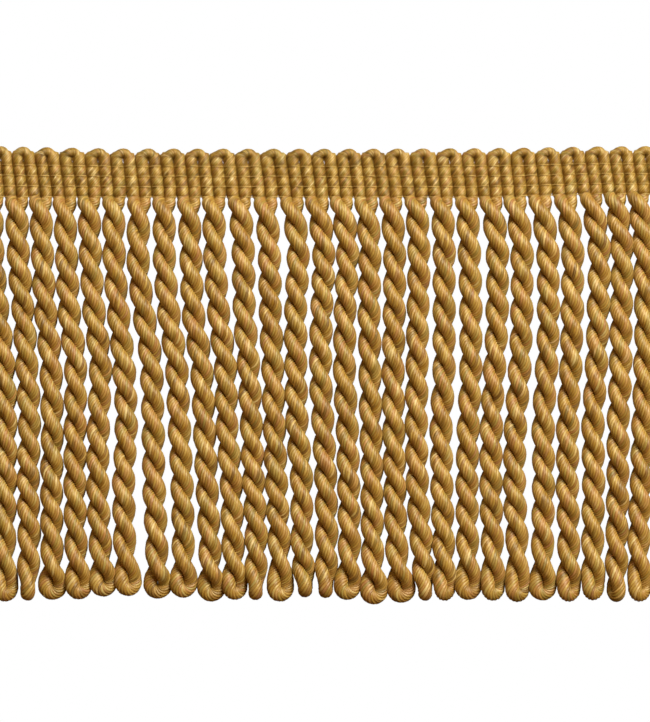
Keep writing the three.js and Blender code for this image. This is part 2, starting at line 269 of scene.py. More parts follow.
@dataclass
class Surface:
    """The points, faces and yarn map of a mesh before it is put into Blender.

    pressed is, for each point, its share of painted shade: how far it lies on a flank packed
    against its neighbour, down in the furrow where shade falls.
    """

    points: Array
    corners: Array
    sizes: Array
    yarn: Array
    smooth: Array
    flank_shade: Array

    @staticmethod
    def joined(parts: list["Surface"]) -> "Surface":
        """One surface of several separate ones, each part's corners counted on from the last."""
        starts = np.cumsum([0] + [len(part.points) for part in parts[:-1]])
        return end_to_end([
            replace(part, corners=part.corners + start) for part, start in zip(parts, starts)
        ])

    def piece(self, name: str, material: bpy.types.Material) -> bpy.types.Object:
        """Puts the surface into a new object at the origin, in metres.

        Args:
            name: the piece's name.
            material: its finish.

        Returns:
            The new object.
        """
        mesh = bpy.data.meshes.new(name)
        mesh.vertices.add(len(self.points))
        mesh.loops.add(len(self.corners))
        mesh.polygons.add(len(self.sizes))
        mesh.vertices.foreach_set("co", (self.points * MM).astype(np.float32).ravel())
        mesh.loops.foreach_set("vertex_index", self.corners.astype(np.int32))
        starts = np.concatenate([[0], np.cumsum(self.sizes)[:-1]])
        mesh.polygons.foreach_set("loop_start", starts.astype(np.int32))
        mesh.update(calc_edges=True)
        mesh.polygons.foreach_set("use_smooth", self.smooth)
        mesh.uv_layers.new(name=YARN_MAP).data.foreach_set("uv", self.yarn.astype(np.float32).ravel())
        # Each point's share of painted shade, on flanks packed into the furrows, for the material to read.
        flank_shade = mesh.attributes.new(FLANK_SHADE, "FLOAT", "POINT")
        flank_shade.data.foreach_set("value", self.flank_shade.astype(np.float32))
        mesh.validate()
        mesh.materials.append(material)
        return new_object(name, mesh)


def tube(rings: Array, along: Array, map_width: float, map_skew: float,
         flank_shade: Array | None = None) -> Surface:
    """Skins a row of rings and closes both ends.

    Each face joins side j and j + 1 of ring i and i + 1, so its long edges follow the yarns.
    Each end is a fan to the middle of its ring.

    Args:
        rings: (rings, sides, 3) points, counted round the way they run, right-handed.
        along: each ring's coordinate along the yarns.
        map_width: the map's width round the whole tube.
        map_skew: how much the coordinate along the yarns grows from side to side.
        flank_shade: (rings, sides) each point's share of painted shade, on flanks packed into the furrows,
            or None.

    Returns:
        The closed surface.
    """
    count, sides = rings.shape[:2]
    i, j = np.indices((count - 1, sides))
    right = (j + 1) % sides
    quads = np.stack([i * sides + j, i * sides + right, (i + 1) * sides + right, (i + 1) * sides + j], -1)
    across = np.stack([j, j + 1, j + 1, j], -1)
    ring_of = np.stack([i, i, i + 1, i + 1], -1)
    quad_map = np.stack([across * map_width / sides, along[ring_of] + across * map_skew], -1)

    side = np.arange(sides)
    beside = (side + 1) % sides
    first_pole, last_pole = count * sides, count * sides + 1
    start_fan = np.stack([np.full(sides, first_pole), beside, side], -1)
    last_ring = (count - 1) * sides
    end_fan = np.stack([np.full(sides, last_pole), last_ring + side, last_ring + beside], -1)
    fan_across = np.stack([side + 0.5, side + 1.0, side], -1) * map_width / sides
    start_map = np.stack([fan_across, np.full_like(fan_across, along[0])], -1)
    end_map = np.stack([fan_across[:, [0, 2, 1]], np.full_like(fan_across, along[-1])], -1)

    points = np.concatenate([rings.reshape(-1, 3), rings[[0, -1]].mean(axis=1)])
    # Each point's share of painted shade on its flank; none where no share is given, none at the poles.
    flanks = np.zeros(count * sides) if flank_shade is None else flank_shade.ravel()
    return Surface(
        points,
        np.concatenate([quads.ravel(), start_fan.ravel(), end_fan.ravel()]),
        np.concatenate([np.full(quads.shape[0] * sides, 4), np.full(2 * sides, 3)]),
        np.concatenate([quad_map.reshape(-1, 2), start_map.reshape(-1, 2), end_map.reshape(-1, 2)]),
        np.concatenate([np.full(quads.shape[0] * sides, True), np.full(2 * sides, False)]),
        np.concatenate([flanks, [0.0, 0.0]]),
    )


@dataclass
class Stretch:
    """A stretch of the ply's way, closely sampled.

    facing is the way the ply faces: away from the middle of its arch, towards its partner in a
    cord, towards the middle of its loop. halves are its half sizes that way, the other way and
    across both. twist is its yarns' turn in radians per mm, and fineness how many times closer
    its rings stand than in a cord.
    """

    centre: Array
    facing: Array
    halves: Array
    twist: Array
    fineness: Array

    def backwards(self) -> "Stretch":
        """The same stretch run from its end to its start."""
        return Stretch(*(getattr(self, item.name)[::-1] for item in fields(Stretch)))


@dataclass
class LaidPly:
    """The whole ply at even steps along its way, with its yarns' turn worked out.

    shoulder is the share by which its front is drawn in from the side that it faces, and from
    the other side. flanked is 1 where it is packed between two columns, so that its flanks get
    painted shade, and 0 in the cords.
    """

    centre: Array
    facing: Array
    halves: Array
    shoulder: Array
    flanked: Array
    turn: Array
    yarn_length: Array
    run: Array
    rings_before: Array
    row: Array


@dataclass
class Ply:
    """The thick ply: ten yarns twisted together to the right.

    The yarns stand out as lobes. Each has a groove and two points on its back, and the mesh's
    long edges follow it. Each of swells is a wave's share of swell, its length and its start.
    front and flank are the sines between which a point comes onto the front, or off a flank and
    out of the flank's painted shade.
    """

    yarns: int = 10
    points_per_yarn: int = 3
    radius: float = 2.05
    groove_depth: float = 0.16
    back_rise: float = 0.03
    back_wander: float = 0.035
    wander_lengths: Pair = (6.1, 17.0)
    wander_drift: float = 1.3
    yarn_phase: float = 2.4
    swell: float = 0.02
    swells: tuple[Triple, ...] = ((1.0, 3.9, 1.1), (0.6, 1.61, 0.4), (0.5, 8.7, 2.0))
    same_place: float = 1e-6
    path_step: float = 0.1
    rounding: float = 0.5
    cord_ring_step: float = 0.68
    heading_twist: float = 0.70
    cord_twist: float = 0.60
    end_taper: float = 1.6
    end_size: float = 0.08
    front: Pair = (0.0, 0.7)
    flank: Pair = (0.25, 0.95)

    def lay(self, way: Stretch) -> LaidPly:
        """Evens out the ply's way and works out how its yarns turn.

        The way is resampled at even steps and each of its values is averaged with its neighbours
        under a bell curve of width rounding. The yarns' angle from facing grows by the twist less
        the torsion, the rate at which facing itself turns about the way.

        Args:
            way: the whole way, end to end.

        Returns:
            The laid ply.
        """
        steps = np.linalg.norm(np.diff(way.centre, axis=0), axis=1)
        run = np.concatenate([[0.0], np.cumsum(steps)])
        keep = np.concatenate([[True], steps > self.same_place])
        even = np.arange(0.0, run[-1], self.path_step)
        columns = np.column_stack([way.centre, way.facing, way.halves, way.twist, way.fineness])
        columns = np.column_stack([np.interp(even, run[keep], column) for column in columns[keep].T])
        reach = int(3 * self.rounding / self.path_step)
        bell = np.exp(-0.5 * (np.arange(-reach, reach + 1) * self.path_step / self.rounding) ** 2)
        padded = np.pad(columns, ((reach, reach), (0, 0)), mode="reflect", reflect_type="odd")
        columns = np.column_stack([np.convolve(column, bell / bell.sum(), "valid") for column in padded.T])
        centre, facing, halves = columns[:, :3], columns[:, 3:6], columns[:, 6:9]
        twist, fineness = columns[:, 9], columns[:, 10]

        tangent = unit(np.gradient(centre, axis=0))
        facing = squared(facing, tangent)
        torsion = (np.gradient(facing, axis=0) * np.cross(tangent, facing)).sum(1) / self.path_step
        slant = np.sqrt(1 + (twist * self.radius) ** 2)
        waves = [share * np.sin(even / length + start) for share, length, start in self.swells]
        from_end = np.clip(np.minimum(even, even[-1] - even) / self.end_taper, 0.0, 1.0)
        taper = np.maximum(np.sqrt(from_end * (2 - from_end)), self.end_size)
        return LaidPly(
            centre=centre,
            facing=facing,
            halves=halves * ((1 + self.swell * np.sum(waves, axis=0)) * taper)[:, None],
            shoulder=np.zeros((len(even), 2)),
            flanked=np.zeros_like(even),
            turn=np.cumsum(twist - torsion) * self.path_step,
            yarn_length=np.cumsum(slant) * self.path_step,
            run=even,
            rings_before=np.cumsum(fineness) * self.path_step / self.cord_ring_step,
            row=centre[:, 1].copy(),
        )

    def skin(self, laid: LaidPly, start: int, end: int) -> Surface:
        """Skins the laid ply between two of its samples.

        A point of side j is the centre, plus facing times its half size times cos(a), plus across
        times its half size times sin(a), a being the yarns' turn and j's share of a full turn.
        Grooves lie groove_depth in, and the yarns' backs wander a little in and out. On the
        front, where sin(a) is above 0, the first half size is smaller by the shoulder.

        Args:
            laid: the whole laid ply.
            start: the first sample.
            end: the last sample.

        Returns:
            The closed surface of that part.
        """
        window = slice(start, end + 1)
        rings = laid.rings_before[window]
        count = max(3, int(round(rings[-1] - rings[0])) + 1)
        run = np.interp(np.linspace(rings[0], rings[-1], count), rings, laid.run[window])

        def read(values: Array) -> Array:
            """The laid ply's values at the rings."""
            flat = values.reshape(len(values), -1)
            read_off = np.column_stack([np.interp(run, laid.run, column) for column in flat.T])
            return read_off.reshape(len(run), *values.shape[1:])

        centre, halves = read(laid.centre), read(laid.halves)
        tangent = unit(read(np.gradient(laid.centre, axis=0)))
        facing = squared(read(laid.facing), tangent)
        across = np.cross(tangent, facing)

        sides = self.yarns * self.points_per_yarn
        side = np.arange(sides)
        yarn, place = side // self.points_per_yarn, side % self.points_per_yarn
        short, long = self.wander_lengths
        drift = self.wander_drift * np.sin(run[:, None] / long + yarn)
        wander = np.sin(run[:, None] / short + yarn * self.yarn_phase + drift)
        relief = np.where(place == 0, -self.groove_depth, self.back_rise + self.back_wander * wander)
        size = 1 + relief / self.radius
        angle = read(laid.turn)[:, None] + 2 * np.pi * side / sides
        front = soft_step(*self.front, np.sin(angle))
        drawn = halves[:, None, :2] * (1 - read(laid.shoulder)[:, None] * front[..., None])
        towards = np.where(np.cos(angle) > 0, drawn[..., 0], drawn[..., 1]) * np.cos(angle) * size
        sideways = halves[:, 2:3] * np.sin(angle) * size
        out = towards[..., None] * facing[:, None]
        points = centre[:, None] + out + sideways[..., None] * across[:, None]
        slant = self.heading_twist * self.radius / np.hypot(1.0, self.heading_twist * self.radius)
        skew = 2 * np.pi * self.radius * slant / sides
        # Painted shade on flanks packed against a neighbour, where the furrows lie in shade; it fades off
        # onto the front.
        flank_shade = read(laid.flanked)[:, None] * (1 - soft_step(*self.flank, np.sin(angle)))
        return tube(points, read(laid.yarn_length), float(self.yarns), skew, flank_shade)


@dataclass
class Column:
    """Where a column of the heading stands.

    Each pair is at the heading's lower edge and at the top of the arches: the column's X, half
    the distance to its partner in the cord, and half that to its partner under the arch.
    """

    x: Pair
    to_cord: Pair
    to_arch: Pair


@dataclass
class Heading:
    """The woven heading: columns side by side, joined by arches and pinched by binding threads.

    A pair of rows holds the Y where something starts and where it is whole. neck and eye hold
    the Y, the reach and the depth of two hollows in the columns' inside.
    """

    ply: Ply
    overlap: float = 0.12
    half_height: float = 2.1
    pinch_width: float = 0.04
    pinch_height: float = 0.26
    pinch_reach: float = 0.3
    pinch_fineness: float = 1.9
    bead_height: float = 0.34
    bead_reach: float = 0.9
    shoulder: Pair = (0.1, 0.3)
    notch_shoulder: float = 0.3
    notch_reach: float = 0.62
    woven_foot: Pair = (-9.1, -7.6)
    woven_top: Pair = (5.0, 6.3)
    # The Y at which the painted flank shade starts to fade out, and the Y where it is gone.
    flanked_top: Pair = (3.2, 5.0)
    neck: Triple = (-8.7, 0.9, 0.55)
    eye: Triple = (3.8, 0.6, 0.17)
    ring_fineness: float = 1.15
    arch_foot_y: float = 6.0
    arch_lean: float = 0.55
    lean_rise: Pair = (0.1, 0.85)
    arch_inset: float = 0.12
    arch_twist: float = 1.5
    arch_fineness: float = 2.4
    arch_samples: int = 70
    band_outer: float = 1.22
    band_inner: float = 1.42
    outer_corner: Pair = (6.02, 6.4)
    inner_corner: Pair = (5.95, 6.7)
    crown_rise: float = 0.6
    crown_lift: float = 0.3
    crown_thickening: float = 0.5
    crown_rows: Pair = (6.3, 7.2)
    fold_y: float = 6.1
    fold_reach: float = 0.5
    fold_pinch: float = 0.15
    fold_dip: float = 0.05

    @staticmethod
    def near(y: Array, rows: tuple[float, ...], reach: float) -> Array:
        """1 where y is at one of the rows, falling off as a bell curve of that reach."""
        return np.exp(-(((y[:, None] - np.asarray(rows)) / reach) ** 2)).sum(axis=1)

    def pinch(self, laid: LaidPly) -> None:
        """Draws the laid ply in under the binding threads, so that it bulges in beads between.

        Each thread lies in a fine groove with a broad hollow about it, where the front's sides
        are drawn in too. The columns end in blunt corners, above which the ply is a narrower
        band, thicker on the inside over the crown. The inside draws in a little at the eye below
        the arch, and at the neck just below the heading, where the cords part.
        """
        row = laid.row
        pinch = self.near(row, BINDING_ROWS, self.pinch_reach)[:, None]
        notch = self.notch_shoulder * self.near(row, BINDING_ROWS, self.notch_reach)
        eye, neck = (depth * self.near(row, (y,), reach) for y, reach, depth in (self.eye, self.neck))
        woven = soft_step(*self.woven_foot, row) * (1 - soft_step(*self.woven_top, row))
        # The flanks get painted shade along the woven columns, fading out towards the arches.
        laid.flanked += woven * (1 - soft_step(*self.flanked_top, row))
        laid.shoulder += woven[:, None] * (np.array(self.shoulder) + notch[:, None])
        laid.halves[:, 2] -= self.bead_height * self.near(row, BINDING_ROWS, self.bead_reach)
        corners = ((0, self.band_outer, self.outer_corner), (1, self.band_inner, self.inner_corner))
        for index, band, corner in corners:
            laid.halves[:, index] = between(laid.halves[:, index], band, soft_step(*corner, row))
        laid.halves[:, 1] += self.crown_thickening * soft_step(*self.crown_rows, row)
        laid.halves -= pinch * [self.pinch_width, self.pinch_width, self.pinch_height]
        laid.halves[:, 1] -= eye + neck

    def lean(self, rise: Array) -> Array:
        """How far a column leans to the left at each share of the heading's height."""
        return self.arch_lean * soft_step(*self.lean_rise, rise)

    def column(self, place: Column, side: int) -> Stretch:
        """A column run downwards, from the foot of its arch to where its cord's twist begins.

        Args:
            place: where it stands.
            side: 1 where it is the left one of its cord, and faces right, or -1.

        Returns:
            The column's stretch.
        """
        y = np.arange(self.arch_foot_y, FOOT_Y - TWIST_START, -self.ply.path_step)
        rise = share_up(y)
        x, to_cord, to_arch = (between(*pair, rise) for pair in (place.x, place.to_cord, place.to_arch))
        near_thread = self.near(y, BINDING_ROWS, 2 * self.pinch_reach)
        return Stretch(
            centre=np.column_stack([x - self.lean(rise), y, np.full_like(y, PLY_LEVEL)]),
            facing=np.tile([float(side), 0.0, 0.0], (len(y), 1)),
            halves=np.column_stack([
                to_cord + self.overlap, to_arch + self.overlap, np.full_like(y, self.half_height),
            ]),
            twist=np.full_like(y, self.ply.heading_twist),
            fineness=self.ring_fineness + self.pinch_fineness * near_thread,
        )

    def arch(self, x: float, left: Column, right: Column, start: float, end: float) -> Stretch:
        """An arch, run from angle start to angle end, 180 being its left foot and 0 its right.

        The centre line is a half ellipse whose feet lean to the left, and it narrows and rises
        over the crown, where the yarns turn faster. On the left the ply folds over the column's
        top, where it is pinched and dips.

        Args:
            x: the X of the arch's middle.
            left: the column at its left foot.
            right: the column at its right foot.
            start: the first angle in degrees.
            end: the last angle in degrees.

        Returns:
            The arch's stretch.
        """
        angle = np.radians(np.linspace(start, end, self.arch_samples))
        outward = np.column_stack([np.cos(angle), np.sin(angle), np.zeros_like(angle)])
        aside, up = outward[:, 0], outward[:, 1]
        on_left = aside < 0
        y = self.arch_foot_y + (ARCH_TOP_Y - self.band_outer - self.arch_foot_y) * up
        crown = soft_step(0.0, self.crown_rise, up)
        fold = np.where(on_left, self.near(y, (self.fold_y,), self.fold_reach), 0.0)
        foot = np.where(on_left, abs(x - left.x[1]), abs(right.x[1] - x)) * (1 - self.arch_inset * crown)
        outer = np.where(on_left, left.to_cord[1], right.to_cord[1]) + self.overlap
        inner = np.where(on_left, left.to_arch[1], right.to_arch[1]) + self.overlap
        return Stretch(
            centre=np.column_stack([
                x + foot * aside - self.arch_lean * (1 - up),
                y,
                PLY_LEVEL + self.crown_lift * crown - self.fold_dip * fold,
            ]),
            facing=outward,
            halves=np.column_stack([outer, inner, self.half_height - self.fold_pinch * fold]),
            twist=between(self.ply.heading_twist, self.arch_twist, crown),
            fineness=between(self.ring_fineness, self.arch_fineness, crown),
        )


def woven_shift(x: Array, y: Array) -> Array:
    """How far the weave wanders in Y at each point.

    It is the lower edge's wander below the heading, shading into the top edge's, and it fades
    out over the first turn of the cords.
    """
    top = eased(*map(list, zip(*TOP_EDGE_SHIFT)), x)
    bottom = eased(*map(list, zip(*BOTTOM_EDGE_SHIFT)), x)
    fade = soft_step(FOOT_Y - SHIFT_FADE, FOOT_Y, y)
    return between(bottom, top, np.clip(share_up(y), 0.0, 1.0)) * fade


@dataclass
class BullionCord:
    """One cord: the ply let down, turned back up and twisted on itself to the left.

    Each triple is the ply's half sizes towards its partner, outwards and across. In the loop
    the first is to the loop's middle and loop_filling beyond it.
    """

    ply: Ply
    row: dict[str, float]
    ply_offset: float = 1.76
    halves_at_root: Triple = (2.28, 2.28, 2.16)
    halves_in_cord: Triple = (1.98, 2.21, 2.31)
    halves_in_loop: Pair = (2.31, 2.31)
    root_closing: float = 1.0
    root_reach: float = 2.0
    root_fineness: float = 1.2
    loop_radius: float = 1.8
    loop_widening: float = 0.8
    loop_opening: float = 7.0
    loop_filling: float = 0.1
    loop_sag: float = 0.2
    loop_fineness: float = 1.5
    loop_samples: int = 78
    lead: float = 0.2

    def __post_init__(self) -> None:
        """Works out the loop's radius, wider the flatter it lies, and the depth of its middle."""
        self.turned = np.radians(self.row["turned"])
        self.radius = self.loop_radius + self.loop_widening * float(np.cos(self.turned) ** 2)
        self.loop_halves = np.array([self.radius + self.loop_filling, *self.halves_in_loop])
        self.loop_depth = self.row["drop"] + self.loop_sag - self.radius - self.halves_in_cord[1]

    def phase(self, depth: Array) -> Array:
        """The angle turned since the root, in radians, through the notches to the loop."""
        knots = [TWIST_START, *(self.row[name] for name in NOTCHES), self.loop_depth]
        phases = [0.0, *NOTCH_PHASES, OPEN_LOOP_PHASE + self.row["turned"]]
        return np.radians(eased(knots, phases, depth, level_ends=True))

    def axis_x(self, depth: Array) -> Array:
        """The X of the cord's axis, a smooth curve through its stations."""
        depths = [index * STATION_STEP for index in range(len(STATIONS))]
        return eased(depths, [self.row[name] for name in STATIONS], depth)

    def in_loop(self, depth: Array) -> Array:
        """How far the cord has opened into its loop at each depth, from 0 to 1."""
        return soft_step(self.loop_depth - self.loop_opening, self.loop_depth, depth)

    def offset(self, depth: Array) -> Array:
        """How far each ply's centre lies from the axis: wide at the root, close, wide at the loop."""
        root = 1 - soft_step(TWIST_START, self.row["first"] + self.root_closing, depth)
        at_root = (PLY_PITCH / 2 - self.ply_offset) * root
        return self.ply_offset + at_root + (self.radius - self.ply_offset) * self.in_loop(depth)

    def level(self, depth: Array) -> Array:
        """The height of the axis: as low as the twist lets its plies lie on the floor."""
        resting = PLY_LEVEL + self.offset(depth) * np.abs(np.sin(self.phase(depth)))
        cord_level = PLY_LEVEL + self.ply_offset
        loop_level = PLY_LEVEL + self.radius * abs(np.sin(self.turned))
        level = between(cord_level, loop_level, soft_step(self.row["thirteenth"], self.loop_depth, depth))
        below = np.where(depth > self.row["thirteenth"], np.maximum(level, resting), level)
        return np.where(depth < self.row["first"], resting, below)

    def leg(self, side: int) -> Stretch:
        """One ply of the cord from the heading down to the loop.

        Its centre is the axis plus offset times (cos, sin) of its angle in X and Z, which is half
        a turn for the left ply at the root, 0 for the right one, and falls as the phase grows.
        Between root and loop it lies higher on the right than on the left, by lead.

        Args:
            side: -1 for the ply that starts at the left, 1 for the right.

        Returns:
            The leg's stretch.
        """
        depth = np.arange(TWIST_START, self.loop_depth, self.ply.path_step)
        angle = (np.pi if side < 0 else 0.0) - self.phase(depth)
        way_out = np.column_stack([np.cos(angle), np.zeros_like(angle), np.sin(angle)])
        offset = self.offset(depth)
        root = 1 - soft_step(TWIST_START, self.row["first"], depth)
        loop = self.in_loop(depth)
        lead = self.lead * (1 - root) * (1 - loop) * offset * way_out[:, 0]
        axis = np.column_stack([self.axis_x(depth), FOOT_Y - depth + lead, self.level(depth)])
        close = 1 - soft_step(0.0, self.root_reach, depth)
        cord = np.array(self.halves_in_cord)
        in_loop = self.loop_halves - cord
        return Stretch(
            centre=axis + offset[:, None] * way_out,
            facing=-way_out,
            halves=cord + np.outer(root, self.halves_at_root - cord) + np.outer(loop, in_loop),
            twist=between(self.ply.cord_twist, self.ply.heading_twist, root),
            fineness=between(1.0, self.loop_fineness, loop) + self.root_fineness * close,
        )

    def loop(self) -> Stretch:
        """The turn at the bottom: a half circle from the left ply down and up into the right one."""
        turn = np.linspace(0.0, np.pi, self.loop_samples + 2)[1:-1]
        depth = np.array([self.loop_depth])
        angle = np.pi - self.phase(depth)[0]
        side = np.array([np.cos(angle), 0.0, np.sin(angle)])
        way_out = np.cos(turn)[:, None] * side + np.sin(turn)[:, None] * np.array([0.0, -1.0, 0.0])
        middle = np.array([self.axis_x(depth)[0], FOOT_Y - self.loop_depth, self.level(depth)[0]])
        return Stretch(
            centre=middle + self.radius * way_out,
            facing=-way_out,
            halves=np.tile(self.loop_halves, (len(turn), 1)),
            twist=np.full_like(turn, self.ply.cord_twist),
            fineness=np.full_like(turn, self.loop_fineness),
        )


@dataclass
class BindingThreads:
    """Fine thread pairs that run along the heading and cross between its columns."""

    heading: Heading
    columns: list[Column]
    radius: float = 0.16
    rise: float = 0.32
    lowest_rise: float = 0.14
    dive: float = 2.8
    above_pinch: float = 0.14
    sway: float = 0.12
    sway_lengths: Pair = (1.7, 5.3)
    strands: float = 2.0
    strand_skew: float = 0.1
    sides: int = 6
    steps: int = 8

    def thread(self, row: float, first_side: int) -> Surface:
        """One thread, over one column and under the next.

        Over column i it goes from furrow to furrow in an arch, reach times sin(pi t) to the power
        of dive. That is above the middle height on the front and below it on the back. The thread
        sways a little up and down the heading.

        Args:
            row: the row's Y.
            first_side: 1 where it starts on the front, -1 on the back.

        Returns:
            The thread's surface.
        """
        columns = np.array([between(*place.x, share_up(row)) for place in self.columns])
        columns -= self.heading.lean(np.array(share_up(row)))
        inner, half = (columns[1:] + columns[:-1]) / 2, PLY_PITCH / 2
        furrows = np.concatenate([[columns[0] - half], inner, [columns[-1] + half]])
        share = (np.arange(self.steps) + 0.5) / self.steps
        x = furrows[:-1, None] + np.diff(furrows)[:, None] * (1 - np.cos(np.pi * share)) / 2
        side = first_side * (-1) ** np.arange(len(columns))[:, None]
        rise = self.lowest_rise if row == BINDING_ROWS[0] else self.rise
        reach = self.heading.half_height - self.heading.pinch_height - self.heading.bead_height + rise
        z = PLY_LEVEL + side * reach * np.sin(np.pi * share) ** self.dive
        x, z = x.ravel(), z.ravel()
        short, long = self.sway_lengths
        sway = self.sway * (np.sin(x / short + row) + np.sin(x / long + 2 * row)) / 2
        path = np.column_stack([x, row + self.above_pinch + woven_shift(x, np.full_like(x, row)) + sway, z])
        tangent = unit(np.gradient(path, axis=0))
        up = unit(np.cross(tangent, [0.0, 1.0, 0.0]))
        beside = np.cross(tangent, up)
        angle = 2 * np.pi * np.arange(self.sides) / self.sides
        rings = (
            path[:, None]
            + self.radius * np.cos(angle)[:, None] * up[:, None]
            + self.radius * np.sin(angle)[:, None] * beside[:, None]
        )
        run = np.concatenate([[0.0], np.cumsum(np.linalg.norm(np.diff(path, axis=0), axis=1))])
        return tube(rings, run, self.strands, self.strand_skew)

    def surface(self) -> Surface:
        """All pairs, a thread that starts on the front and its twin for each row."""
        return Surface.joined([self.thread(row, side) for row in BINDING_ROWS for side in (1, -1)])


@dataclass(frozen=True)
class YarnFinish:
    """Spun yarn: each yarn has its own tone, which drifts along it, with fine fibres on top.

    Each share holds the noise at which its colour is absent, that at which there is most of it,
    and how much that is. The seeds keep the noises apart.
    """

    name: str
    tones: tuple[tuple[float, str], ...]
    fibre_tone: str
    blush: str
    olive: str
    # Multiplied in as painted shade in the grooves between yarns.
    groove_shade_tone: str = "#c69a58"
    # Multiplied in as painted shade on flanks packed into the furrows.
    flank_shade_tone: str = "#d2c482"
    blush_share: Triple = (0.52, 0.72, 0.58)
    olive_share: Triple = (0.48, 0.3, 0.6)
    fibre_share: Triple = (0.42, 0.72, 0.34)
    seeds: Triple = (3.71, 7.3, 3.1)
    drift_mm: float = 10.0
    tint_mm: float = 17.0
    fibre_mm: float = 5.0
    fibres_per_yarn: float = 5.0
    lobe_height: float = 0.04
    fibre_height: float = 0.018
    roughness: float = 0.5
    lustre: float = 0.9
    lustre_tone: str = "#fff6dc"
    sheen: float = 0.08
    sheen_roughness: float = 0.4
    sheen_tone: str = "#f2dcae"
    anisotropy: float = 0.4

    def material(self) -> bpy.types.Material:
        """Builds the node material.

        The map's U counts yarns and V runs along them in mm. The tone is a noise read at the
        yarn's whole number and at V over drift_mm. Fibres are a noise that is fine across the
        yarn and long along it. Painted shade darkens the grooves between yarns, as the fourth
        power of the distance from the yarn's back, and darkens the flanks packed against a
        neighbour, down in the furrows, by each point's share of that shade.
        """
        material = bpy.data.materials.new(self.name)
        material.use_nodes = True
        tree = material.node_tree
        tree.nodes.clear()
        nodes = Nodes(tree)
        place = add_node(tree, "ShaderNodeUVMap", uv_map=YARN_MAP).outputs["UV"]
        split = add_node(tree, "ShaderNodeSeparateXYZ", {"Vector": place}).outputs
        across, along = split["X"], split["Y"]
        off_middle = nodes.math("ABSOLUTE", nodes.math("SUBTRACT", nodes.math("FRACT", across), 0.5))
        off_back = nodes.math("MULTIPLY", off_middle, 2.0)

        yarn_seed, tint_seed, fibre_seed = self.seeds
        number = nodes.math("MULTIPLY", nodes.math("FLOOR", across), yarn_seed)
        tone = nodes.noise(number, nodes.math("DIVIDE", along, self.drift_mm), 0.0, 2.0)
        tint = nodes.noise(number, nodes.math("DIVIDE", along, self.tint_mm), tint_seed, 1.0)
        fine_across = nodes.math("MULTIPLY", across, self.fibres_per_yarn)
        fibre = nodes.noise(fine_across, nodes.math("DIVIDE", along, self.fibre_mm), fibre_seed, 2.0)

        ramp = add_node(tree, "ShaderNodeValToRGB", {"Fac": tone})
        stops = ramp.color_ramp.elements
        for stop, (position, tone_colour) in zip(stops, (self.tones[0], self.tones[-1])):
            stop.position = position
            stop.color = linear_colour(tone_colour)
        for position, tone_colour in self.tones[1:-1]:
            stops.new(position).color = linear_colour(tone_colour)
        # Each point's share of painted shade on flanks packed into the furrows.
        flank_shade = add_node(tree, "ShaderNodeAttribute", attribute_name=FLANK_SHADE).outputs["Fac"]
        colour = ramp.outputs["Color"]
        for how, share, over in (
            ("MIX", nodes.share(tint, *self.blush_share), self.blush),
            ("MIX", nodes.share(tint, *self.olive_share), self.olive),
            ("MIX", nodes.share(fibre, *self.fibre_share), self.fibre_tone),
            # Painted shade in the grooves between yarns, deepest at the groove.
            ("MULTIPLY", nodes.math("POWER", off_back, 4.0), self.groove_shade_tone),
            # Painted shade on flanks packed against a neighbour, down in the furrows.
            ("MULTIPLY", flank_shade, self.flank_shade_tone),
        ):
            colour = nodes.mixed(how, share, colour, over)

        lobe = nodes.math("SUBTRACT", 1.0, nodes.math("POWER", off_back, 2.0))
        fuzz = nodes.math("MULTIPLY", fibre, self.fibre_height)
        height = nodes.math("ADD", nodes.math("MULTIPLY", lobe, self.lobe_height), fuzz)
        bump = add_node(tree, "ShaderNodeBump", {"Height": height, "Distance": MM, "Strength": 1.0})
        tangent = add_node(tree, "ShaderNodeTangent", direction_type="UV_MAP", uv_map=YARN_MAP)
        shader = add_node(tree, "ShaderNodeBsdfPrincipled", {
            "Base Color": colour,
            "Roughness": self.roughness,
            "Specular IOR Level": self.lustre,
            "Specular Tint": linear_colour(self.lustre_tone),
            "Sheen Weight": self.sheen,
            "Sheen Roughness": self.sheen_roughness,
            "Sheen Tint": linear_colour(self.sheen_tone),
            "Anisotropic": self.anisotropy,
            "Normal": bump.outputs["Normal"],
            "Tangent": tangent.outputs["Tangent"],
        })
        output = add_node(tree, "ShaderNodeOutputMaterial", {"Surface": shader.outputs["BSDF"]})
        output.is_active_output = True
        return material


# Twisted rayon ply in old gold. Mustard, straw and tan yarns lie beside brown and pinkish ones, so
# the eye sees fine stripes in a warm gold, with a silky gleam where the yarns turn to the light.
GOLD_PLY = YarnFinish(
    name="old_gold_rayon_ply",
    tones=(
        (0.30, "#6e4b0c"), (0.40, "#916610"), (0.50, "#ab8126"), (0.60, "#c19e47"), (0.71, "#dbc27e"),
    ),
    fibre_tone="#e2c684",
    blush="#b87a4c",
    olive="#8f8238",
)

# The same ply in the heading, though the yarn is the same: its light tones are paler and
# yellower and its dark ones a shade deeper than in the cords, painted light and shade for the
# packed columns, which gives the columns their speckle.
WOVEN_PLY = replace(
    GOLD_PLY,
    name="old_gold_woven_ply",
    tones=(
        (0.31, "#6d4d06"), (0.41, "#946d0e"), (0.50, "#af892d"), (0.59, "#c9ab58"), (0.69, "#e2cf94"),
    ),
    blush="#bb8554",
)

# Fine straw-coloured sewing thread: thin pale lines that the eye picks out across the columns.
STRAW_THREAD = YarnFinish(
    name="straw_binding_thread",
    tones=((0.3, "#c4a852"), (0.5, "#d8bc68"), (0.7, "#ead084")),
    fibre_tone="#f0e0a6",
    blush="#dabc74",
    olive="#c8b666",
    lobe_height=0.02,
    fibre_height=0.01,
)


class Light(Enum):
    """The studio's lights: place in m above the trim, width in m, power in W and colour."""

    KEY = ((0.65, 0.65, 1.03), 0.6, 19.5, "#fffdf4")
    FILL = ((0.15, 1.15, 0.8), 0.8, 9.5, "#f0f6ff")


